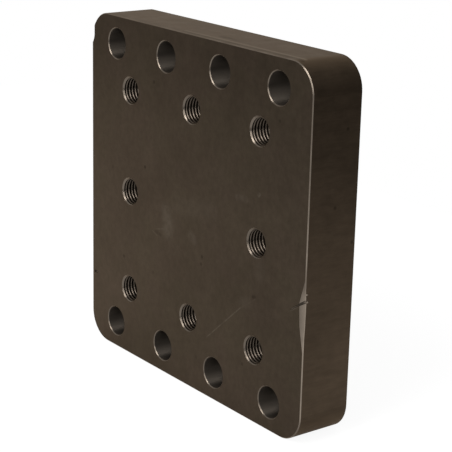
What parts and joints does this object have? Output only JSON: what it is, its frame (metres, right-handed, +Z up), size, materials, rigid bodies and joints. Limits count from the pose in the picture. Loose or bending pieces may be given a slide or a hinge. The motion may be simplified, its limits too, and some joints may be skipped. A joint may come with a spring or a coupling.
{
  "type": "fixture plate",
  "caption": "Square steel fixture plate with rows of clearance holes for bolting it down and a square of tapped holes for fastening work or clamps to its face.",
  "frame": {"origin": "middle of the bottom face, under the plate's middle plane", "axes": "+X along the width, to the right of the working face; +Y through the thickness, from the working face to the back; +Z up"},
  "size_m": [0.2, 0.032, 0.2],
  "materials": {
    "steel": "dark oiled machined steel"
  },
  "bodies": {
    "root": {"fixture_plate": "steel"}
  },
  "joints": []
}
